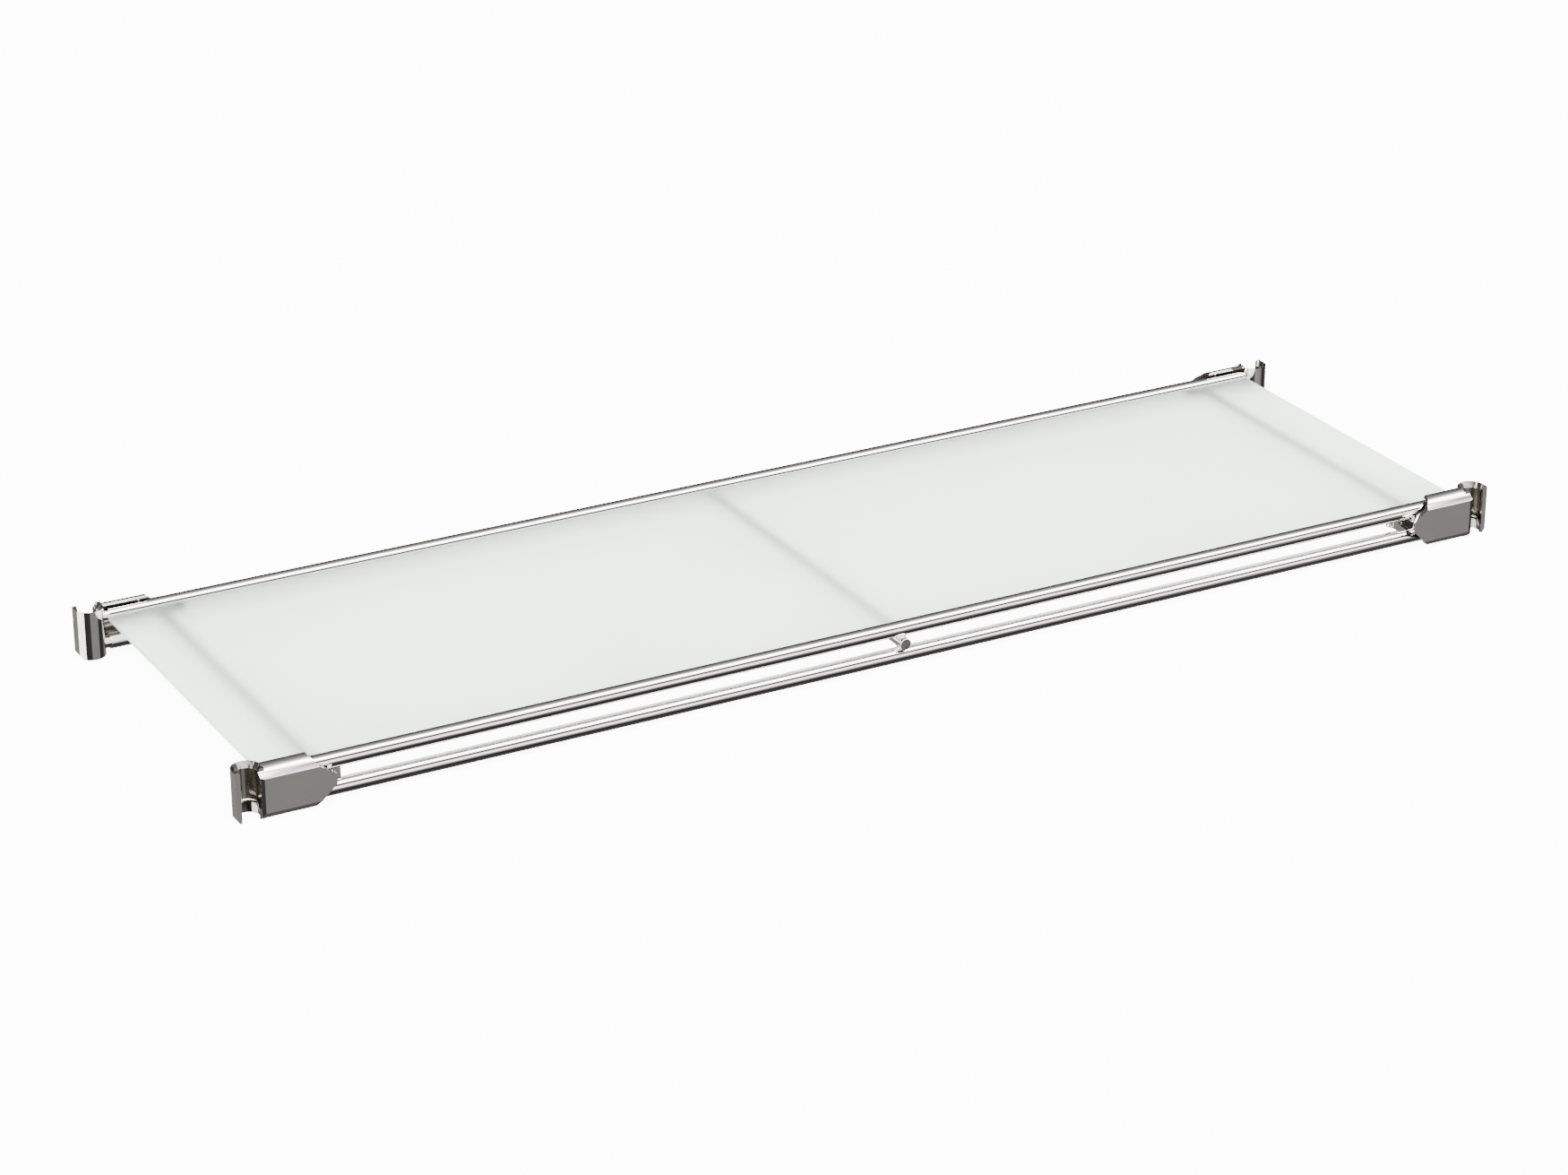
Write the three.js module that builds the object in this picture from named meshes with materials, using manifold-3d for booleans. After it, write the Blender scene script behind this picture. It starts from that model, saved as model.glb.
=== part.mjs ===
// A shelf that clips on to four round upright posts: a frosted glass panel lies between two pairs of
// chromed rails, and a cast bracket at each corner grips a post in an open, U-shaped sleeve.
//
// Frame: millimetres, +Z up. The origin is the middle of the base, level with the sleeves' lower ends.
// X runs along the shelf, Y across it.

import * as THREE from 'three';
import { mergeVertices } from 'three/addons/utils/BufferGeometryUtils.js';
import Module from 'manifold-3d';

const wasm = await Module();
wasm.setup();

// ---- Driving dimensions -------------------------------------------------------------------------

const OVERALL_LENGTH = 1220.7;
const POST_RADIUS = 9.525;          // a 3/4 inch round upright
const SLEEVE_WALL = 2.75;
const SLEEVE_HEIGHT = 44.5;
const RAIL_RADIUS = 6.8;
const RAIL_WALL = 1.2;
const RAIL_SPACING_ACROSS = 348.8;  // front rail axis to back rail axis
const RAIL_SPACING_DOWN = 24.4;     // top rail axis to bottom rail axis
const TOP_RAIL_HEIGHT = 33.9;
const PANEL_THICKNESS = 4;
const PANEL_ABOVE_RAIL_AXIS = 2.4;  // the panel's top face sits just below the top of the rails
const CROSS_BAR_RADIUS = 5.2;
const END_BAR_X = 535.3;
const CLEARANCE = 0.05;             // between parts that are pressed or welded together
const RUNNING_GAP = 0.1;            // between the loose panel and its bumpers

// ---- Sizes that follow from them ----------------------------------------------------------------

const BORE_RADIUS = POST_RADIUS + 0.175;
const SLEEVE_RADIUS = BORE_RADIUS + SLEEVE_WALL;
const SLEEVE_X = OVERALL_LENGTH / 2 - SLEEVE_RADIUS;
const SLEEVE_WALL_X = SLEEVE_X - SLEEVE_RADIUS;
const RAIL_END_X = SLEEVE_WALL_X - 3.4;
const RAIL_Y = RAIL_SPACING_ACROSS / 2;
const BOTTOM_RAIL_HEIGHT = TOP_RAIL_HEIGHT - RAIL_SPACING_DOWN;
const MIDDLE_HEIGHT = (TOP_RAIL_HEIGHT + BOTTOM_RAIL_HEIGHT) / 2;
const PANEL_TOP = TOP_RAIL_HEIGHT + PANEL_ABOVE_RAIL_AXIS;
const PANEL_BOTTOM = PANEL_TOP - PANEL_THICKNESS;
const PANEL_HALF_LENGTH = RAIL_END_X + 2;
const PANEL_HALF_WIDTH = RAIL_Y - RAIL_RADIUS - 0.9;
const PANEL_EDGE_BEVEL = 0.4;
const BAR_TIP_Y = RAIL_Y + RAIL_RADIUS + 1.6;
const BAR_BORE_RADIUS = CROSS_BAR_RADIUS - 0.95;
const BAR_TIP_CHAMFER = 0.5;
const WELD_RADIUS = 4.3;
const PLUG_LENGTH = 6;
const PLUG_CHAMFER = 0.3;

// The corner casting. Outward distances are measured from the rails' axis plane, away from the panel,
// and the heights of the shell are measured from the top rail's axis.
const SLEEVE_CENTRE_OUT = 0.6;
const JAW_OUT = 8.4;                // how far out the sleeve's free jaw reaches
const JAW_THICKNESS = 4.6;          // more than the wall, so that the jaws hook round the post
const LEAD_IN_HEIGHT = 5.5;
const LEAD_IN_RADIUS = BORE_RADIUS + 1.9;
const JAW_FOOT_WIDTH = 2.4;         // the corner that is cut off the jaw's foot, on its outer side
const JAW_FOOT_RISE = 3.4;
const GROOVE_RIB_HEIGHT = 10.5;     // middle of the rib that seats in the post's groove
const GROOVE_RIB_DEPTH = 0.9;
const GROOVE_RIB_WIDTH = 3;         // at its root; the crest is half as wide
const NOSE_X = SLEEVE_X - 7.2;
const JAW_X = SLEEVE_X + SLEEVE_RADIUS - JAW_THICKNESS;
const NOSE_OUT = 13.1;
const FACE_OUT = 14.2;
const FACE_END_X = NOSE_X - 3.2;
const FACE_TOP = 3.3;
const FACE_BOTTOM = -27.3;
const SHELL_BASE_OUT = 11.5;
const SHELL_BASE = -31.9;
const LIP_RADIUS = 11.5;
const LIP_START = THREE.MathUtils.degToRad(94);
const LIP_END = THREE.MathUtils.degToRad(34);
const CAVITY_RADIUS = 9.3;
const SPIGOT_LENGTH = 27;
const SPIGOT_CHAMFER = 0.8;
const PEG_X = 518.5;
const PEG_OUT = -11.2;
const PEG_RADIUS = 4.2;
const ARM_TOP = MIDDLE_HEIGHT + 4.8;
const ARM_BOTTOM = MIDDLE_HEIGHT - 5;
const ARM_START_X = PEG_X - 0.9;
const ARM_END_X = END_BAR_X - CROSS_BAR_RADIUS - 0.5;
const ARM_WEB = 2.8;                // thickness of the arm where it meets the shell
const PEG_FOOT_STEP = 0.4;
const TOOTH_X = 553.5;
const TOOTH_WIDTH = 4.6;
const TOOTH_GAP = 0.6;              // from the tooth's edge down to the rail
const TOOTH_DEPTH = 2.6;            // across the shelf
const SHELL_LIP_X = 547.8;          // inner end of the shell at its lip, shoulder, point, hip and base
const SHELL_SHOULDER_X = 540.2;
const SHELL_POINT_X = 525.8;
const SHELL_HIP_X = 538.5;
const SHELL_BASE_X = 544.3;
const SHELL_POINT_TOP = -6.05;      // the point's two corners and the hip, from the top rail's axis
const SHELL_POINT_BASE = -14.75;
const SHELL_HIP = -26.6;

// The bumper under the panel
const BUMPER_THICKNESS = 2.6;
const BUMPER_CHAMFER = 0.5;
const BUMPER_STEM_RADIUS = 2;
const BUMPER_STEM_LENGTH = 6;
const PEG_TOP = PANEL_BOTTOM - RUNNING_GAP - BUMPER_THICKNESS;

// Steps and slivers smaller than this are left out of the finished surfaces
const SMALLEST_STEP = 0.01;

// How far a cutting shape runs past the surface that it cuts
const PAST = 1;

// Number of straight sides that stand for a full circle
const SLEEVE_SIDES = 64;
const RAIL_SIDES = 40;
const SMALL_SIDES = 28;

// ---- Materials ----------------------------------------------------------------------------------

const material = (color, roughness, metalness) =>
  new THREE.MeshStandardMaterial({ color, roughness, metalness });

const chrome = () => material(0xd6d3cc, 0.08, 1);
const castChrome = () => material(0xcfccc5, 0.12, 1);
const rubber = () => material(0x2b2b2a, 0.85, 0);
const blackPlastic = () => material(0x1c1b1a, 0.5, 0);

function frostedGlass() {
  const glass = material(0xe8ebe8, 0.65, 0);
  glass.transparent = true;
  glass.opacity = 0.85;
  return glass;
}

// ---- Solid helpers ------------------------------------------------------------------------------

// Turns a closed three.js geometry into a manifold solid.
function solid(geometry) {
  const bare = geometry.index ? geometry.toNonIndexed() : geometry;
  bare.deleteAttribute('normal');
  bare.deleteAttribute('uv');
  const merged = mergeVertices(bare, 1e-4);
  return new wasm.Manifold(new wasm.Mesh({
    numProp: 3,
    vertProperties: new Float32Array(merged.attributes.position.array),
    triVerts: new Uint32Array(merged.index.array),
  }));
}

// Turns a manifold solid back into a three.js geometry.
function geometryOf(manifold) {
  const mesh = manifold.simplify(SMALLEST_STEP).getMesh();
  const geometry = new THREE.BufferGeometry();
  geometry.setAttribute('position', new THREE.BufferAttribute(new Float32Array(mesh.vertProperties), 3));
  geometry.setIndex(new THREE.BufferAttribute(new Uint32Array(mesh.triVerts), 1));
  geometry.computeVertexNormals();
  return geometry;
}

// A mirrored copy of a geometry; signs of -1 reflect it in X or Y, and its faces still point out.
function mirrored(geometry, signX, signY) {
  const copy = geometry.clone().scale(signX, signY, 1);
  if (signX * signY < 0) {
    const index = copy.index.array;
    for (let i = 0; i < index.length; i += 3) {
      [index[i + 1], index[i + 2]] = [index[i + 2], index[i + 1]];
    }
  }
  copy.computeVertexNormals();
  return copy;
}

function polygon(points) {
  return new THREE.Shape(points.map(([a, b]) => new THREE.Vector2(a, b)));
}

function extruded(shape, depth, sides = SMALL_SIDES) {
  return new THREE.ExtrudeGeometry(shape, { depth, bevelEnabled: false, curveSegments: sides });
}

// A prism whose section is drawn in X and Y, from one height to another.
function prismUp(shape, from, to, sides) {
  return solid(extruded(shape, to - from, sides).translate(0, 0, from));
}

// A prism whose section is drawn in Y and Z, from one X to another.
function prismAlongX(shape, from, to, sides) {
  const turn = new THREE.Matrix4().makeBasis(
    new THREE.Vector3(0, 1, 0), new THREE.Vector3(0, 0, 1), new THREE.Vector3(1, 0, 0));
  return solid(extruded(shape, to - from, sides).applyMatrix4(turn).translate(from, 0, 0));
}

// A prism whose section is drawn in X and Z, from one Y to another.
function prismAlongY(shape, from, to, sides) {
  return solid(extruded(shape, to - from, sides).rotateX(Math.PI / 2).translate(0, to, 0));
}

function box(x0, x1, y0, y1, z0, z1) {
  const geometry = new THREE.BoxGeometry(x1 - x0, y1 - y0, z1 - z0);
  return solid(geometry.translate((x0 + x1) / 2, (y0 + y1) / 2, (z0 + z1) / 2));
}

// A turned solid about the Z axis through (x, y); its profile lists [radius, height] pairs.
function turned(profile, x, y, sides = SMALL_SIDES) {
  const points = profile.map(([r, z]) => new THREE.Vector2(r, z));
  const geometry = new THREE.LatheGeometry(points, sides).rotateX(Math.PI / 2);
  return solid(geometry.translate(x, y, 0));
}

// A turned solid about a line along X through (y, z); its profile lists [radius, x] pairs.
function turnedAlongX(profile, y, z, sides = SMALL_SIDES) {
  const points = profile.map(([r, x]) => new THREE.Vector2(r, x));
  return solid(new THREE.LatheGeometry(points, sides).rotateZ(-Math.PI / 2).translate(0, y, z));
}

// A turned solid about a line along Y through (0, z); its profile lists [radius, y] pairs.
function turnedAlongY(profile, z, sides = SMALL_SIDES) {
  const points = profile.map(([r, y]) => new THREE.Vector2(r, y));
  return solid(new THREE.LatheGeometry(points, sides).translate(0, 0, z));
}

// ---- Panel --------------------------------------------------------------------------------------

function panelGeometry() {
  const x = PANEL_HALF_LENGTH - PANEL_EDGE_BEVEL;
  const y = PANEL_HALF_WIDTH - PANEL_EDGE_BEVEL;
  const geometry = new THREE.ExtrudeGeometry(polygon([[-x, -y], [x, -y], [x, y], [-x, y]]), {
    depth: PANEL_THICKNESS - 2 * PANEL_EDGE_BEVEL,
    bevelThickness: PANEL_EDGE_BEVEL,
    bevelSize: PANEL_EDGE_BEVEL,
    bevelSegments: 1,
  });
  return geometry.translate(0, 0, PANEL_BOTTOM + PANEL_EDGE_BEVEL);
}

// ---- Rails and cross bars -----------------------------------------------------------------------

// A round tube along X, open at both ends.
function railGeometry() {
  const section = new THREE.Shape().absarc(0, 0, RAIL_RADIUS, 0, 2 * Math.PI);
  section.holes.push(new THREE.Path().absarc(0, 0, RAIL_RADIUS - RAIL_WALL, 0, 2 * Math.PI, true));
  const geometry = extruded(section, 2 * RAIL_END_X, RAIL_SIDES / 2);
  return geometry.rotateY(Math.PI / 2).translate(-RAIL_END_X, 0, 0);
}

// The outside of a rail with the weld gap, which trims the welds to a saddle.
function railClearance(y, z) {
  const radius = RAIL_RADIUS + CLEARANCE;
  const reach = 2 * WELD_RADIUS;
  return turnedAlongX([[0, -reach], [radius, -reach], [radius, reach], [0, reach]], y, z, RAIL_SIDES);
}

// A cross bar along Y through x = 0, with its welds to the four rails and its bore for the plugs.
function crossBarSolid() {
  const tip = BAR_TIP_Y - BAR_TIP_CHAMFER;
  const tipRadius = CROSS_BAR_RADIUS - BAR_TIP_CHAMFER;
  let bar = turnedAlongY([
    [0, -BAR_TIP_Y], [tipRadius, -BAR_TIP_Y], [CROSS_BAR_RADIUS, -tip],
    [CROSS_BAR_RADIUS, tip], [tipRadius, BAR_TIP_Y], [0, BAR_TIP_Y],
  ], MIDDLE_HEIGHT);
  for (const side of [-1, 1]) {
    bar = bar.add(turned([
      [0, BOTTOM_RAIL_HEIGHT], [WELD_RADIUS, BOTTOM_RAIL_HEIGHT],
      [WELD_RADIUS, TOP_RAIL_HEIGHT], [0, TOP_RAIL_HEIGHT],
    ], 0, side * RAIL_Y));
    bar = bar.subtract(railClearance(side * RAIL_Y, TOP_RAIL_HEIGHT));
    bar = bar.subtract(railClearance(side * RAIL_Y, BOTTOM_RAIL_HEIGHT));
  }
  const end = BAR_TIP_Y + PAST;
  const bore = [[0, -end], [BAR_BORE_RADIUS, -end], [BAR_BORE_RADIUS, end], [0, end]];
  return bar.subtract(turnedAlongY(bore, MIDDLE_HEIGHT));
}

// The plug in a cross bar's back end, at x = 0.
function barPlugSolid() {
  const radius = BAR_BORE_RADIUS - CLEARANCE;
  const inner = BAR_TIP_Y - PLUG_LENGTH;
  return turnedAlongY([
    [0, inner],
    [radius - PLUG_CHAMFER, inner],
    [radius, inner + PLUG_CHAMFER],
    [radius, BAR_TIP_Y - PLUG_CHAMFER],
    [radius - PLUG_CHAMFER, BAR_TIP_Y],
    [0, BAR_TIP_Y],
  ], MIDDLE_HEIGHT);
}

// ---- Corner casting, drawn for the back right corner ----------------------------------------------

// Outside of the shell in Y and Z: a lip over the top rail, a bevel, a flat face and a lower bevel.
function shellSection() {
  const section = new THREE.Shape();
  section.moveTo(RAIL_Y + LIP_RADIUS * Math.cos(LIP_START), TOP_RAIL_HEIGHT + SHELL_BASE);
  section.lineTo(RAIL_Y + SHELL_BASE_OUT, TOP_RAIL_HEIGHT + SHELL_BASE);
  section.lineTo(RAIL_Y + FACE_OUT, TOP_RAIL_HEIGHT + FACE_BOTTOM);
  section.lineTo(RAIL_Y + FACE_OUT, TOP_RAIL_HEIGHT + FACE_TOP);
  section.absarc(RAIL_Y, TOP_RAIL_HEIGHT, LIP_RADIUS, LIP_END, LIP_START, false);
  return section;
}

// The shell seen from outside, in X and Z: a blunt point at its inner end, square at the sleeve.
function shellOutline() {
  const top = TOP_RAIL_HEIGHT + LIP_RADIUS + PAST;
  const base = TOP_RAIL_HEIGHT + SHELL_BASE - PAST;
  return polygon([
    [SHELL_LIP_X, top],
    [SHELL_SHOULDER_X, TOP_RAIL_HEIGHT + FACE_TOP],
    [SHELL_POINT_X, TOP_RAIL_HEIGHT + SHELL_POINT_TOP],
    [SHELL_POINT_X, TOP_RAIL_HEIGHT + SHELL_POINT_BASE],
    [SHELL_HIP_X, TOP_RAIL_HEIGHT + SHELL_HIP],
    [SHELL_BASE_X, base],
    [NOSE_X + PAST, base],
    [NOSE_X + PAST, top],
  ].reverse());
}

// The space that both rails pass through, rounded over the top rail and under the bottom one.
function railCavity() {
  const section = new THREE.Shape();
  section.moveTo(RAIL_Y + CAVITY_RADIUS, BOTTOM_RAIL_HEIGHT);
  section.absarc(RAIL_Y, TOP_RAIL_HEIGHT, CAVITY_RADIUS, 0, Math.PI, false);
  section.absarc(RAIL_Y, BOTTOM_RAIL_HEIGHT, CAVITY_RADIUS, Math.PI, 2 * Math.PI, false);
  return prismAlongX(section, PEG_X - PAST, SLEEVE_WALL_X + SLEEVE_WALL / 2, SMALL_SIDES / 2);
}

function shellSolid() {
  const outside = prismAlongX(shellSection(), PEG_X, NOSE_X + 2 * PAST, SMALL_SIDES / 2);
  const sideCut = prismAlongY(shellOutline(), RAIL_Y - SLEEVE_RADIUS, RAIL_Y + 2 * FACE_OUT);
  const fall = FACE_OUT - NOSE_OUT;
  const run = NOSE_X - FACE_END_X;
  const endBevel = prismUp(polygon([
    [NOSE_X + 2 * run, RAIL_Y + NOSE_OUT - 2 * fall],
    [NOSE_X + 2 * run, RAIL_Y + 2 * FACE_OUT],
    [FACE_END_X - run, RAIL_Y + 2 * FACE_OUT],
    [FACE_END_X - run, RAIL_Y + FACE_OUT + fall],
  ]), -SLEEVE_HEIGHT, 2 * SLEEVE_HEIGHT);
  return outside.intersect(sideCut).subtract(endBevel).subtract(railCavity());
}

// Outside of the sleeve: a half round towards the panel and two straight legs outward.
function sleeveSolid() {
  const section = new THREE.Shape();
  section.moveTo(SLEEVE_X + SLEEVE_RADIUS, RAIL_Y + JAW_OUT);
  section.lineTo(SLEEVE_X - SLEEVE_RADIUS, RAIL_Y + JAW_OUT);
  section.absarc(SLEEVE_X, RAIL_Y + SLEEVE_CENTRE_OUT, SLEEVE_RADIUS, Math.PI, 2 * Math.PI, false);
  const sleeve = prismUp(section, 0, SLEEVE_HEIGHT, SLEEVE_SIDES / 2);
  const side = SLEEVE_X + SLEEVE_RADIUS;
  const corner = polygon([
    [side - 2 * JAW_FOOT_WIDTH, -JAW_FOOT_RISE],
    [side + JAW_FOOT_WIDTH, -JAW_FOOT_RISE],
    [side + JAW_FOOT_WIDTH, 2 * JAW_FOOT_RISE],
  ]);
  const foot = prismAlongY(corner, RAIL_Y - SLEEVE_RADIUS, RAIL_Y + JAW_OUT + PAST);
  return sleeve.subtract(foot);
}

// Everything that the post and its way in keep clear: a bore with a lead-in cone, and an open mouth.
// The bore narrows to leave a rib in the half-round wall, which seats in a groove of the post.
function postSpace() {
  const centre = RAIL_Y + SLEEVE_CENTRE_OUT;
  const ribRadius = BORE_RADIUS - GROOVE_RIB_DEPTH;
  const bore = turned([
    [0, -PAST],
    [BORE_RADIUS, -PAST],
    [BORE_RADIUS, GROOVE_RIB_HEIGHT - GROOVE_RIB_WIDTH / 2],
    [ribRadius, GROOVE_RIB_HEIGHT - GROOVE_RIB_WIDTH / 4],
    [ribRadius, GROOVE_RIB_HEIGHT + GROOVE_RIB_WIDTH / 4],
    [BORE_RADIUS, GROOVE_RIB_HEIGHT + GROOVE_RIB_WIDTH / 2],
    [BORE_RADIUS, SLEEVE_HEIGHT - LEAD_IN_HEIGHT],
    [LEAD_IN_RADIUS, SLEEVE_HEIGHT],
    [LEAD_IN_RADIUS, SLEEVE_HEIGHT + PAST],
    [0, SLEEVE_HEIGHT + PAST],
  ], SLEEVE_X, centre, SLEEVE_SIDES);
  const mouth = box(NOSE_X, JAW_X, centre, centre + 2 * BORE_RADIUS, -PAST, SLEEVE_HEIGHT + PAST);
  return bore.add(mouth);
}

// The round spigot that holds one rail's end.
function spigot(z) {
  const radius = RAIL_RADIUS - RAIL_WALL - CLEARANCE;
  const end = RAIL_END_X - SPIGOT_LENGTH;
  const root = SLEEVE_WALL_X + SLEEVE_WALL / 2;
  return turnedAlongX([
    [0, end], [radius - SPIGOT_CHAMFER, end], [radius, end + SPIGOT_CHAMFER], [radius, root], [0, root],
  ], RAIL_Y, z);
}

// A small three-sided rib under the lip, which steadies the shell on the top rail.
function lipTooth() {
  const root = TOP_RAIL_HEIGHT + (LIP_RADIUS + CAVITY_RADIUS) / 2;
  const tooth = polygon([
    [TOOTH_X, TOP_RAIL_HEIGHT + RAIL_RADIUS + TOOTH_GAP],
    [TOOTH_X + TOOTH_WIDTH / 2, root],
    [TOOTH_X - TOOTH_WIDTH / 2, root],
  ]);
  return prismAlongY(tooth, RAIL_Y, RAIL_Y + TOOTH_DEPTH);
}

// The arm that reaches between the rails, from the shell's point to the peg under the panel.
function armSolid() {
  const plan = polygon([
    [ARM_START_X, RAIL_Y + PEG_OUT],
    [ARM_END_X, RAIL_Y + PEG_OUT],
    [ARM_END_X, RAIL_Y + CAVITY_RADIUS + PAST],
    [ARM_END_X - ARM_WEB, RAIL_Y + CAVITY_RADIUS + PAST],
    [ARM_END_X - ARM_WEB, RAIL_Y + ARM_WEB / 2],
    [ARM_START_X, RAIL_Y + ARM_WEB / 2],
  ]);
  const arm = prismUp(plan, ARM_BOTTOM, ARM_TOP);
  const foot = ARM_BOTTOM + PEG_FOOT_STEP;
  const peg = turned([[0, foot], [PEG_RADIUS, foot], [PEG_RADIUS, PEG_TOP], [0, PEG_TOP]],
    PEG_X, RAIL_Y + PEG_OUT);
  const socketFloor = PEG_TOP - BUMPER_STEM_LENGTH - CLEARANCE;
  const socketRadius = BUMPER_STEM_RADIUS + CLEARANCE;
  const socket = turned([
    [0, socketFloor], [socketRadius, socketFloor], [socketRadius, PEG_TOP + PAST], [0, PEG_TOP + PAST],
  ], PEG_X, RAIL_Y + PEG_OUT);
  return arm.add(peg).subtract(socket);
}

function cornerCastingSolid() {
  const shape = shellSolid().add(sleeveSolid()).subtract(postSpace());
  return shape
    .add(spigot(TOP_RAIL_HEIGHT))
    .add(spigot(BOTTOM_RAIL_HEIGHT))
    .add(lipTooth())
    .add(armSolid());
}

// The rubber bumper: a pad on a stem that plugs into the peg.
function bumperSolid() {
  const top = PEG_TOP + BUMPER_THICKNESS;
  return turned([
    [0, PEG_TOP - BUMPER_STEM_LENGTH],
    [BUMPER_STEM_RADIUS, PEG_TOP - BUMPER_STEM_LENGTH],
    [BUMPER_STEM_RADIUS, PEG_TOP + CLEARANCE],
    [PEG_RADIUS, PEG_TOP + CLEARANCE],
    [PEG_RADIUS, top - BUMPER_CHAMFER],
    [PEG_RADIUS - BUMPER_CHAMFER, top],
    [0, top],
  ], PEG_X, RAIL_Y + PEG_OUT);
}

// ---- Assembly -------------------------------------------------------------------------------------

const group = new THREE.Group();

function place(name, geometry, look, x = 0, y = 0, z = 0) {
  const mesh = new THREE.Mesh(geometry, look);
  mesh.name = name;
  mesh.position.set(x, y, z);
  group.add(mesh);
}

place('glass_panel', panelGeometry(), frostedGlass());

for (const [side, sign] of [['front', -1], ['back', 1]]) {
  place(`${side}_top_rail`, railGeometry(), chrome(), 0, sign * RAIL_Y, TOP_RAIL_HEIGHT);
  place(`${side}_bottom_rail`, railGeometry(), chrome(), 0, sign * RAIL_Y, BOTTOM_RAIL_HEIGHT);
}

const crossBar = geometryOf(crossBarSolid());
const backPlug = geometryOf(barPlugSolid());
const frontPlug = mirrored(backPlug, 1, -1);
for (const [where, x] of [['left', -END_BAR_X], ['middle', 0], ['right', END_BAR_X]]) {
  place(`${where}_cross_bar`, crossBar.clone(), chrome(), x);
  place(`${where}_cross_bar_front_plug`, frontPlug.clone(), blackPlastic(), x);
  place(`${where}_cross_bar_back_plug`, backPlug.clone(), blackPlastic(), x);
}

const casting = geometryOf(cornerCastingSolid());
const bumper = geometryOf(bumperSolid());
for (const [side, signY] of [['front', -1], ['back', 1]]) {
  for (const [end, signX] of [['left', -1], ['right', 1]]) {
    place(`${side}_${end}_corner_casting`, mirrored(casting, signX, signY), castChrome());
    place(`${side}_${end}_bumper`, mirrored(bumper, signX, signY), rubber());
  }
}

export default group;
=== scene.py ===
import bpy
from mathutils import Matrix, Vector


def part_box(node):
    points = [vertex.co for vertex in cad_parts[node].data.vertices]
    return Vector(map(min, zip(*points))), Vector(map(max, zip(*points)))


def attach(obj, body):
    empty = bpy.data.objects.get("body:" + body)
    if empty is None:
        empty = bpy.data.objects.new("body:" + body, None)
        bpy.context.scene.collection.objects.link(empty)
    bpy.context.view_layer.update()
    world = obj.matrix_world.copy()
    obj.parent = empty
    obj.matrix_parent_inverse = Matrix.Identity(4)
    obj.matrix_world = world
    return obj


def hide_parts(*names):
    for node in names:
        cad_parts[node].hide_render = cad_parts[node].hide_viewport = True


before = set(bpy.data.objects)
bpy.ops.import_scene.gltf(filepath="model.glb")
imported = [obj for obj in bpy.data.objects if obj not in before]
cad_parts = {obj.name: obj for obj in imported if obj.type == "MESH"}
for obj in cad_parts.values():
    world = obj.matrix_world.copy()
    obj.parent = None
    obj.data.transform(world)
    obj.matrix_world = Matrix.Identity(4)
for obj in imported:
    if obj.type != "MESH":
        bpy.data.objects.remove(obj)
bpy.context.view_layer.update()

# A frosted glass shelf on chromed rails with a cast bracket at each corner, in a plain pale studio.

import math

import bmesh
import bpy
from mathutils import Vector

# ---- Sizes, in metres ---------------------------------------------------------------------------

MM = 0.001
RAIL_RADIUS = 6.8 * MM
RAIL_BORE = 5.6 * MM
BAR_RADIUS = 5.2 * MM
BAR_BORE = 4.25 * MM
WELD_FOOT_RADIUS = 4.6 * MM
WELD_WAIST_RADIUS = 3.9 * MM
WELD_SINK = 0.25 * MM
RAIL_RIM = 0.3 * MM
BAR_RIM = 0.5 * MM
PLUG_RIM = 0.3 * MM
PLUG_DISH = 0.2 * MM
SLEEVE_RADIUS = 12.45 * MM
# Faces that line these hollows are darkened with painted shade
BORE_REACH = 12.0 * MM       # inward-looking faces nearer the post's axis than this line the bore
CAVITY_REACH = 9.6 * MM      # and those nearer a rail's axis than this line the space round the rails
CASTING_EDGE = 0.4 * MM
PANEL_EDGE = 0.5 * MM
BUMPER_PAD = 2.55 * MM
BUMPER_STEM_RADIUS = 2.0 * MM
BUMPER_RIM = 0.4 * MM
BUMPER_DOME = 0.6 * MM
SAME_POINT = 0.004 * MM

# Angles at which an edge stays sharp, and between faces that count as one flat
SOFT_CREASE = math.radians(30)
CASTING_CREASE = math.radians(17)
FLAT = math.radians(1)

# Sides of a round form, from the rails down to the plugs and bumpers
ROUND_STEPS = 96
BAR_STEPS = 64
SMALL_STEPS = 48

# The camera stands to the left of the shelf's front, a little above it
CAMERA_PLACE = (-1.71233, -3.0936, 1.5783)
CAMERA_TILT = math.radians(65.99)
CAMERA_TURN = math.radians(-28.71)
CAMERA_LENS = 100.51

FLOOR_SIZE = 24.0
FLOOR_HEIGHT = -0.2 * MM
FLOOR_GLOW = 10.0

# How bright the studio is at each angle about the shelf's length, in degrees: 0 is level in front,
# 90 is overhead and 180 is level behind. A large soft box hangs above the front, and a low one
# stands in front; the rest of the room is dim, and the space below is dark.
STUDIO_LIGHT = (
    (-180, 0.30), (-125, 0.30), (-95, 0.12), (-70, 0.05), (-38, 0.03), (-24, 0.05), (-14, 0.45),
    (-5, 3.6), (8, 4.2), (20, 1.1), (28, 0.1), (37, 0.1), (44, 1.1), (52, 10.0), (60, 15.0),
    (72, 15.0), (84, 3.2), (94, 0.85), (108, 0.4), (124, 0.22), (143, 0.1), (165, 0.08), (180, 0.10),
)

# Upright panels low down round the shelf: the way to each, counted from +X towards +Y, half its
# width, its lower and upper ends, all in degrees, and its brightness. A white one stands at the left
# end and a grey one in front.
SIDE_PANELS = (
    (175, 32, -40, -5, 4.5),
    (288, 32, -30, -18, 0.24),
)
LIGHT_FADE = math.radians(3)


# ---- Node helpers -------------------------------------------------------------------------------


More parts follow.
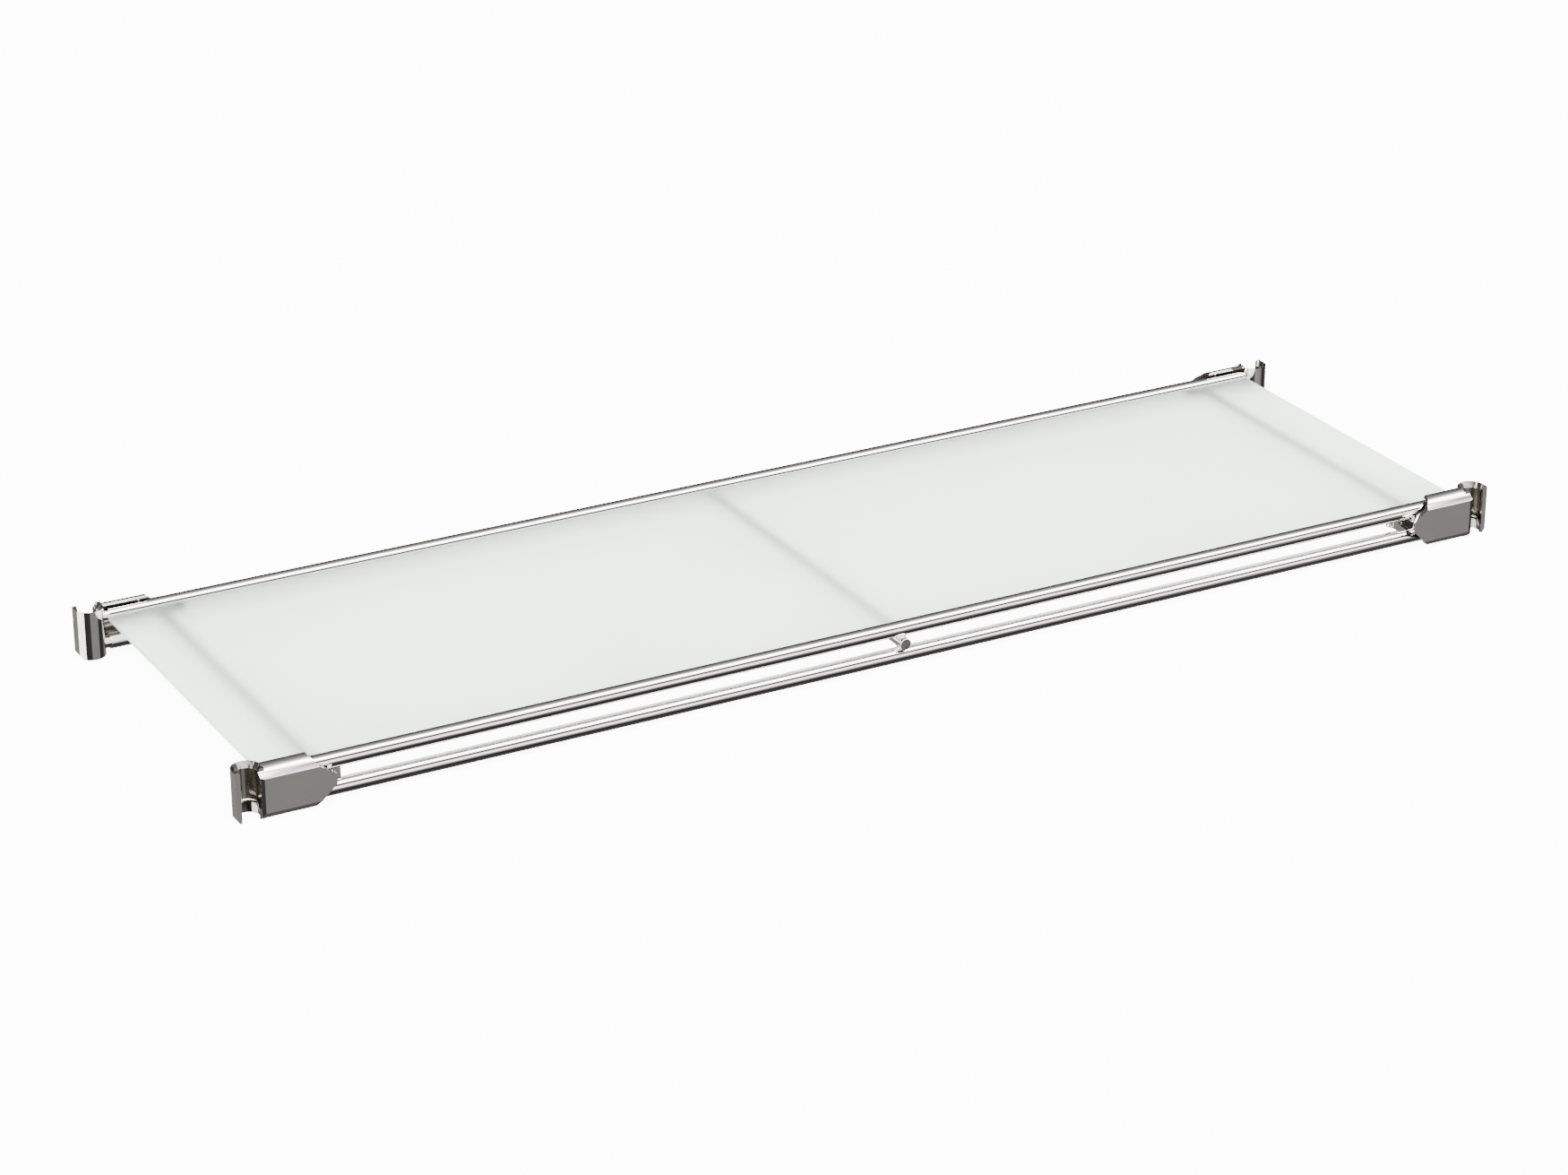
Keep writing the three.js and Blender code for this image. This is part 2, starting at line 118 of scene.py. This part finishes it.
class Look:
    """A node material that is built up step by step round one Principled shader."""

    def __init__(self, name):
        self.material = bpy.data.materials.new(name)
        self.material.use_nodes = True
        self.tree = self.material.node_tree
        self.shader = self.tree.nodes["Principled BSDF"]
        self.place = self.tree.nodes.new("ShaderNodeTexCoord").outputs["Object"]

    def set(self, **values):
        for socket, value in values.items():
            self.shader.inputs[socket.replace("_", " ")].default_value = value
        return self

    def noise(self, scale, detail=3.0, roughness=0.5, stretch=(1.0, 1.0, 1.0)):
        """A noise pattern over the piece; stretch scales the pattern's frequency along each axis."""
        mapping = self.tree.nodes.new("ShaderNodeMapping")
        mapping.inputs["Scale"].default_value = stretch
        texture = self.tree.nodes.new("ShaderNodeTexNoise")
        texture.inputs["Scale"].default_value = scale
        texture.inputs["Detail"].default_value = detail
        texture.inputs["Roughness"].default_value = roughness
        self.tree.links.new(self.place, mapping.inputs["Vector"])
        self.tree.links.new(mapping.outputs["Vector"], texture.inputs["Vector"])
        return texture.outputs["Fac"]

    def spread(self, value, low, high, start=0.3, end=0.7):
        """Maps a pattern from start..end to low..high."""
        node = self.tree.nodes.new("ShaderNodeMapRange")
        node.inputs["From Min"].default_value = start
        node.inputs["From Max"].default_value = end
        node.inputs["To Min"].default_value = low
        node.inputs["To Max"].default_value = high
        self.tree.links.new(value, node.inputs["Value"])
        return node.outputs["Result"]

    def colours(self, value, first, second):
        """Blends two colours by a pattern and paints the piece with the result."""
        ramp = self.tree.nodes.new("ShaderNodeValToRGB")
        ramp.color_ramp.elements[0].position = 0.3
        ramp.color_ramp.elements[0].color = (*first, 1.0)
        ramp.color_ramp.elements[1].position = 0.7
        ramp.color_ramp.elements[1].color = (*second, 1.0)
        self.tree.links.new(value, ramp.inputs["Fac"])
        self.tree.links.new(ramp.outputs["Color"], self.shader.inputs["Base Color"])
        return self

    def gloss(self, value, low, high):
        self.tree.links.new(self.spread(value, low, high), self.shader.inputs["Roughness"])
        return self

    def bump(self, value, height, strength=1.0):
        """Raises the surface by height metres where the pattern is high."""
        node = self.tree.nodes.new("ShaderNodeBump")
        node.inputs["Strength"].default_value = strength
        node.inputs["Distance"].default_value = height
        self.tree.links.new(value, node.inputs["Height"])
        if self.shader.inputs["Normal"].is_linked:
            before = self.shader.inputs["Normal"].links[0].from_socket
            self.tree.links.new(before, node.inputs["Normal"])
        self.tree.links.new(node.outputs["Normal"], self.shader.inputs["Normal"])
        return self


# ---- Materials ----------------------------------------------------------------------------------


def tube_chrome(along):
    """Bright chrome over drawn tube: faint polishing lines run along the tube's own axis."""
    stretched = 0.02
    lines = tuple(stretched if axis == along else 1.0 for axis in range(3))
    look = Look("tube_chrome_" + "xyz"[along]).set(Metallic=1.0)
    cloud = look.noise(9.0, detail=4.0)
    look.colours(cloud, (0.82, 0.80, 0.745), (0.86, 0.845, 0.795))
    look.gloss(look.noise(420.0, detail=2.0, stretch=lines), 0.02, 0.05)
    look.bump(look.noise(900.0, detail=2.0, stretch=lines), 0.004 * MM)
    return look.material


def cast_chrome():
    """Chrome over a polished zinc casting, a little wavy and softer than the tubes."""
    look = Look("cast_chrome").set(Metallic=1.0)
    look.colours(look.noise(30.0, detail=4.0), (0.79, 0.765, 0.71), (0.84, 0.82, 0.77))
    look.gloss(look.noise(160.0, detail=4.0), 0.04, 0.09)
    look.bump(look.noise(70.0, detail=1.0), 0.05 * MM)
    look.bump(look.noise(1500.0, detail=2.0), 0.003 * MM)
    return look.material


def hollow_painted_shade():
    """The casting's hollows: chrome in a darker, warmer colour than the outside, painted shade for the bore
    and the space round the rails.
    """
    look = Look("hollow_painted_shade").set(Metallic=1.0)
    look.colours(look.noise(55.0, detail=4.0), (0.30, 0.28, 0.25), (0.46, 0.43, 0.385))
    look.gloss(look.noise(260.0, detail=4.0), 0.10, 0.2)
    look.bump(look.noise(300.0, detail=2.0), 0.004 * MM)
    return look.material


def frosted_glass(name, smoothest, roughest):
    """Sand-blasted glass that blurs what lies below it; both faces have it, to their own degree."""
    look = Look(name).set(Transmission_Weight=0.96, IOR=1.5)
    look.colours(look.noise(6.0, detail=5.0), (0.50, 0.545, 0.508), (0.525, 0.57, 0.532))
    look.gloss(look.noise(900.0, detail=3.0), smoothest, roughest)
    look.bump(look.noise(2600.0, detail=2.0), 0.005 * MM)
    return look.material


def bumper_rubber():
    look = Look("bumper_rubber").set(IOR=1.45)
    look.colours(look.noise(300.0, detail=4.0), (0.018, 0.019, 0.018), (0.035, 0.036, 0.034))
    look.gloss(look.noise(700.0), 0.7, 0.9)
    look.bump(look.noise(2500.0, detail=3.0), 0.02 * MM)
    return look.material


def plug_plastic():
    look = Look("plug_plastic").set(Specular_IOR_Level=0.12)
    look.colours(look.noise(250.0, detail=3.0), (0.010, 0.010, 0.010), (0.020, 0.019, 0.018))
    look.gloss(look.noise(900.0), 0.38, 0.55)
    look.bump(look.noise(3000.0, detail=2.0), 0.012 * MM)
    return look.material


def studio_floor():
    """A white light table, bright enough that nothing casts a shadow on it."""
    material = bpy.data.materials.new("studio_floor")
    material.use_nodes = True
    shader = material.node_tree.nodes["Principled BSDF"]
    shader.inputs["Base Color"].default_value = (0.9, 0.9, 0.9, 1.0)
    shader.inputs["Roughness"].default_value = 0.9
    shader.inputs["Specular IOR Level"].default_value = 0.0
    shader.inputs["Emission Color"].default_value = (1.0, 1.0, 1.0, 1.0)
    shader.inputs["Emission Strength"].default_value = FLOOR_GLOW
    return material


# ---- Mesh helpers -------------------------------------------------------------------------------


def new_object(name, mesh_data, material, body, slot_name, *nodes):
    """Adds a finished piece that stands for some CAD nodes and moves with their body."""
    piece = bpy.data.objects.new(name, mesh_data)
    bpy.context.scene.collection.objects.link(piece)
    mesh_data.materials.clear()
    mesh_data.materials.append(material)
    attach(piece, body)
    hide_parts(*nodes)
    return piece


def finished(name, shape, sharp=SOFT_CREASE):
    """Turns a bmesh into mesh data that is smooth except at its sharp edges."""
    bmesh.ops.recalc_face_normals(shape, faces=shape.faces)
    data = bpy.data.meshes.new(name)
    shape.to_mesh(data)
    shape.free()
    data.shade_smooth()
    data.set_sharp_from_angle(angle=sharp)
    return data


def revolve(shape, profile, centre, along, steps=ROUND_STEPS, closed=False):
    """Turns a profile of (radius, distance) pairs about an axis through centre, 0 = X, 1 = Y, 2 = Z."""
    side, up = [axis for axis in range(3) if axis != along]
    rings = []
    for radius, distance in profile:
        count = 1 if radius == 0 else steps
        ring = []
        for step in range(count):
            angle = 2 * math.pi * step / steps
            place = Vector(centre)
            place[along] += distance
            place[side] += radius * math.cos(angle)
            place[up] += radius * math.sin(angle)
            ring.append(shape.verts.new(place))
        rings.append(ring)
    pairs = list(zip(rings, rings[1:]))
    if closed:
        pairs.append((rings[-1], rings[0]))
    for first, second in pairs:
        for step in range(steps):
            corners = [
                first[step % len(first)], first[(step + 1) % len(first)],
                second[(step + 1) % len(second)], second[step % len(second)],
            ]
            distinct = list(dict.fromkeys(corners))
            if len(distinct) > 2:
                shape.faces.new(distinct)


def rounded(radius, distance, size, outward, steps=4):
    """Profile points of a rounded corner at (radius, distance); outward is the end's direction."""
    points = []
    for step in range(steps + 1):
        angle = 0.5 * math.pi * step / steps
        points.append((
            radius - size + size * math.cos(angle),
            distance - outward * size + outward * size * math.sin(angle),
        ))
    return points


# ---- Pieces -------------------------------------------------------------------------------------


def centre_of(node):
    low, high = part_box(node)
    return [(a + b) / 2 for a, b in zip(low, high)]


def build_rail(node, material):
    """A drawn tube, open at both ends, with softly rounded rims."""
    low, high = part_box(node)
    half = (high[0] - low[0]) / 2
    outside = rounded(RAIL_RADIUS, half, RAIL_RIM, 1)
    inside = [(RAIL_BORE, half), (RAIL_BORE, -half)]
    other = list(reversed(rounded(RAIL_RADIUS, -half, RAIL_RIM, -1)))
    shape = bmesh.new()
    revolve(shape, other + outside + inside, centre_of(node), 0, closed=True)
    new_object(node + "_tube", finished(node, shape), material, "frame", "tube_chrome", node)


def weld_bead(shape, x, y, bar_z, rail_z):
    """A fillet of weld metal between the bar's crown and a rail, as rings that sink into both."""
    up = 1 if rail_z > bar_z else -1
    rings = 9
    ripple_height = 0.02
    ripple_count = 7
    loops = []
    for ring in range(rings):
        share = ring / (rings - 1)
        waist = math.sin(math.pi * share)
        loop = []
        for step in range(SMALL_STEPS):
            angle = 2 * math.pi * step / SMALL_STEPS
            ripple = 1 + ripple_height * math.sin(ripple_count * angle + ring)
            reach = WELD_FOOT_RADIUS + (WELD_WAIST_RADIUS - WELD_FOOT_RADIUS) * waist
            dx = reach * ripple * math.cos(angle)
            dy = reach * ripple * math.sin(angle)
            on_bar = math.sqrt(BAR_RADIUS ** 2 - dx ** 2) - WELD_SINK
            on_rail = abs(rail_z - bar_z) - math.sqrt(RAIL_RADIUS ** 2 - dy ** 2) + WELD_SINK
            height = on_bar + share * (on_rail - on_bar)
            loop.append(shape.verts.new((x + dx, y + dy, bar_z + up * height)))
        loops.append(loop)
    for first, second in zip(loops, loops[1:]):
        for step in range(SMALL_STEPS):
            after = (step + 1) % SMALL_STEPS
            shape.faces.new((first[step], first[after], second[after], second[step]))
    for loop, back in ((loops[0], True), (loops[-1], False)):
        shape.faces.new(list(reversed(loop)) if back else loop)


def build_cross_bar(node, material):
    """A tube along Y with rounded rims, and its four weld beads."""
    low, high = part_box(node)
    x, y, z = centre_of(node)
    half = (high[1] - low[1]) / 2
    outside = rounded(BAR_RADIUS, half, BAR_RIM, 1)
    inside = [(BAR_BORE, half), (BAR_BORE, -half)]
    other = list(reversed(rounded(BAR_RADIUS, -half, BAR_RIM, -1)))
    shape = bmesh.new()
    revolve(shape, other + outside + inside, (x, y, z), 1, steps=BAR_STEPS, closed=True)
    for rail in ("front_top_rail", "front_bottom_rail", "back_top_rail", "back_bottom_rail"):
        _, rail_y, rail_z = centre_of(rail)
        weld_bead(shape, x, rail_y, z, rail_z)
    new_object(node + "_tube", finished(node, shape), material, "frame", "tube_chrome", node)


def build_plug(node, material):
    """A moulded plug with a rounded, slightly dished end."""
    low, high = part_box(node)
    x, y, z = centre_of(node)
    outward = 1 if y > 0 else -1
    radius = (high[0] - low[0]) / 2
    half = (high[1] - low[1]) / 2
    inner = -outward * half
    profile = [(0, inner), (radius - PLUG_RIM, inner), (radius, inner + outward * PLUG_RIM)]
    profile += rounded(radius, outward * half, PLUG_RIM, outward)
    profile += [(radius * 0.7, outward * (half - PLUG_DISH / 2)), (0, outward * (half - PLUG_DISH))]
    shape = bmesh.new()
    revolve(shape, profile, (x, y, z), 1, steps=SMALL_STEPS)
    new_object(node + "_moulding", finished(node, shape), material, "frame", "plug_plastic", node)


def build_bumper(node, material):
    """A rubber pad with a domed top, on a stem that fills the hole in the bracket's peg."""
    low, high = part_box(node)
    x, y, _ = centre_of(node)
    pad_radius = (high[0] - low[0]) / 2
    top = high[2]
    underside = top - BUMPER_PAD
    profile = [(0, low[2]), (BUMPER_STEM_RADIUS, low[2]), (BUMPER_STEM_RADIUS, underside)]
    profile += [(pad_radius - BUMPER_RIM, underside), (pad_radius, underside + BUMPER_RIM)]
    for degrees in range(20, 90, 10):
        turn = math.radians(degrees)
        profile.append((pad_radius * math.cos(turn), top - BUMPER_DOME * (1 - math.sin(turn))))
    profile += [(0, top)]
    shape = bmesh.new()
    revolve(shape, profile, (x, y, 0), 2, steps=SMALL_STEPS)
    new_object(node + "_moulding", finished(node, shape), material, "frame", "bumper_rubber", node)


def looks_at(face, way, reach):
    """Whether a face looks along the way to an axis and is nearer to it than reach."""
    return way.length < reach and face.normal.dot(way) > 0.3 * way.length


def is_hollow(face, sleeve_x, rail_y, rail_heights):
    """Whether a face lines the sleeve's bore or the space round the rails beside it."""
    centre = face.center
    to_post = Vector((sleeve_x - centre.x, rail_y - centre.y, 0))
    lowest, highest = rail_heights
    nearest = min(max(centre.z, lowest), highest)
    to_rails = Vector((0, rail_y - centre.y, nearest - centre.z))
    beside_sleeve = abs(centre.x - sleeve_x) > BORE_REACH
    return looks_at(face, to_post, BORE_REACH) or (beside_sleeve and looks_at(face, to_rails, CAVITY_REACH))


def merged_copy(node):
    """A CAD node's form as a bmesh, with its flats merged."""
    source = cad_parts[node]
    shape = bmesh.new()
    shape.from_mesh(source.data)
    shape.transform(source.matrix_world)
    bmesh.ops.remove_doubles(shape, verts=shape.verts, dist=SAME_POINT)
    bmesh.ops.dissolve_limit(
        shape, angle_limit=FLAT, verts=shape.verts, edges=shape.edges, delimit={"NORMAL"})
    return shape


def build_casting(node, outside, inside):
    """The casting's CAD form with every sharp edge rounded, and its hollows darkened with painted shade."""
    low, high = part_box(node)
    sleeve_x = high[0] - SLEEVE_RADIUS if high[0] > 0 else low[0] + SLEEVE_RADIUS
    side = "back" if high[1] > 0 else "front"
    _, rail_y, top_height = centre_of(side + "_top_rail")
    bottom_height = centre_of(side + "_bottom_rail")[2]
    data = finished(node, merged_copy(node), CASTING_CREASE)
    piece = new_object(node + "_chromed", data, outside, "frame", "cast_chrome", node)
    data.materials.append(inside)
    # Faces lining the bore and the space round the rails get the darker chrome, painted shade
    for face in data.polygons:
        face.material_index = int(is_hollow(face, sleeve_x, rail_y, (bottom_height, top_height)))
    bevel = piece.modifiers.new("rounded_edges", "BEVEL")
    bevel.width = CASTING_EDGE
    bevel.segments = 3
    bevel.limit_method = "ANGLE"
    bevel.angle_limit = CASTING_CREASE
    bevel.harden_normals = True
    bevel.miter_outer = "MITER_ARC"
    bevel.material = 0


def build_panel(node, coarse, fine):
    """A pane with rounded edges: coarse frosting below and round the edges, fine frosting on top."""
    low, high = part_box(node)
    shape = bmesh.new()
    bmesh.ops.create_cube(shape, size=1.0)
    for vert in shape.verts:
        for axis in range(3):
            middle = (low[axis] + high[axis]) / 2
            vert.co[axis] = middle + vert.co[axis] * (high[axis] - low[axis])
    edges = list(shape.edges)
    bmesh.ops.bevel(shape, geom=edges, offset=PANEL_EDGE, segments=3, profile=0.5, affect="EDGES")
    data = finished(node, shape)
    new_object("glass_panel_pane", data, coarse, "panel", "frosted_glass", node)
    data.materials.append(fine)
    for face in data.polygons:
        face.material_index = int(face.normal.z > 0.9)


# ---- Studio -------------------------------------------------------------------------------------


def build_floor():
    """The light table; it isn't seen in the chrome, which shows the studio's own lower half."""
    data = bpy.data.meshes.new("studio_floor")
    half = FLOOR_SIZE / 2
    corners = [(-half, -half, 0), (half, -half, 0), (half, half, 0), (-half, half, 0)]
    data.from_pydata(corners, [], [(0, 1, 2, 3)])
    data.materials.append(studio_floor())
    floor = bpy.data.objects.new("studio_floor", data)
    floor.location.z = FLOOR_HEIGHT
    floor.visible_glossy = False
    bpy.context.scene.collection.objects.link(floor)


def build_world():
    """The studio's soft light: bands that run along the shelf, and upright panels low down."""
    world = bpy.data.worlds.new("studio")
    bpy.context.scene.world = world
    world.use_nodes = True
    tree = world.node_tree

    def maths(operation, first, second):
        node = tree.nodes.new("ShaderNodeMath")
        node.operation = operation
        for socket, value in zip(node.inputs, (first, second)):
            if isinstance(value, float):
                socket.default_value = value
            else:
                tree.links.new(value, socket)
        return node.outputs["Value"]

    def fade(value, start, end):
        node = tree.nodes.new("ShaderNodeMapRange")
        node.interpolation_type = "SMOOTHSTEP"
        node.inputs["From Min"].default_value = start
        node.inputs["From Max"].default_value = end
        tree.links.new(value, node.inputs["Value"])
        return node.outputs["Result"]

    split = tree.nodes.new("ShaderNodeSeparateXYZ")
    tree.links.new(tree.nodes.new("ShaderNodeTexCoord").outputs["Generated"], split.inputs["Vector"])
    along, across, up = split.outputs

    angle = maths("ARCTAN2", up, maths("MULTIPLY", across, -1.0))
    turn = maths("ADD", maths("DIVIDE", angle, 2 * math.pi), 0.5)
    curve = tree.nodes.new("ShaderNodeFloatCurve")
    tree.links.new(turn, curve.inputs["Value"])
    line = curve.mapping.curves[0]
    brightest = max(level for _, level in STUDIO_LIGHT)
    while len(line.points) < len(STUDIO_LIGHT):
        line.points.new(0.5, 0.5)
    for point, (degrees, level) in zip(line.points, STUDIO_LIGHT):
        point.location = (degrees / 360 + 0.5, level / brightest)
        point.handle_type = "VECTOR"
    curve.mapping.update()
    light = maths("MULTIPLY", curve.outputs["Value"], brightest)

    flat = maths("SQRT", maths("SUBTRACT", 1.0, maths("MULTIPLY", up, up)), 0.0)
    for way, half_width, bottom, top, level in SIDE_PANELS:
        way, half_width = math.radians(way), math.radians(half_width)
        bottom, top = math.radians(bottom), math.radians(top)
        above = fade(up, math.sin(bottom - LIGHT_FADE), math.sin(bottom + LIGHT_FADE))
        below = fade(up, math.sin(top + LIGHT_FADE), math.sin(top - LIGHT_FADE))
        height = maths("MULTIPLY", above, below)
        part_along = maths("MULTIPLY", along, math.cos(way))
        part_across = maths("MULTIPLY", across, math.sin(way))
        facing = maths("DIVIDE", maths("ADD", part_along, part_across), flat)
        width = fade(facing, math.cos(half_width + LIGHT_FADE), math.cos(half_width - LIGHT_FADE))
        light = maths("ADD", light, maths("MULTIPLY", maths("MULTIPLY", width, height), level))

    background = tree.nodes["Background"]
    background.inputs["Color"].default_value = (1.0, 1.0, 1.0, 1.0)
    tree.links.new(light, background.inputs["Strength"])


def build_camera():
    data = bpy.data.cameras.new("camera")
    data.lens = CAMERA_LENS
    data.sensor_width = 36.0
    camera = bpy.data.objects.new("camera", data)
    camera.location = CAMERA_PLACE
    camera.rotation_euler = (CAMERA_TILT, 0.0, CAMERA_TURN)
    bpy.context.scene.collection.objects.link(camera)
    bpy.context.scene.camera = camera


# ---- Scene --------------------------------------------------------------------------------------

build_camera()
build_world()
build_floor()

chrome_along_x = tube_chrome(0)
chrome_along_y = tube_chrome(1)
casting_chrome = cast_chrome()
# Darker chrome for the casting's hollows: painted shade
casting_painted_shade = hollow_painted_shade()
rubber = bumper_rubber()
plastic = plug_plastic()

for name in sorted(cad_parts):
    if name.endswith("_rail"):
        build_rail(name, chrome_along_x)
    elif name.endswith("_cross_bar"):
        build_cross_bar(name, chrome_along_y)
    elif name.endswith("_plug"):
        build_plug(name, plastic)
    elif name.endswith("_bumper"):
        build_bumper(name, rubber)
    elif name.endswith("_corner_casting"):
        build_casting(name, casting_chrome, casting_painted_shade)
coarse_glass = frosted_glass("blasted_glass", 0.84, 0.92)
fine_glass = frosted_glass("soft_glass", 0.5, 0.58)
build_panel("glass_panel", coarse_glass, fine_glass)
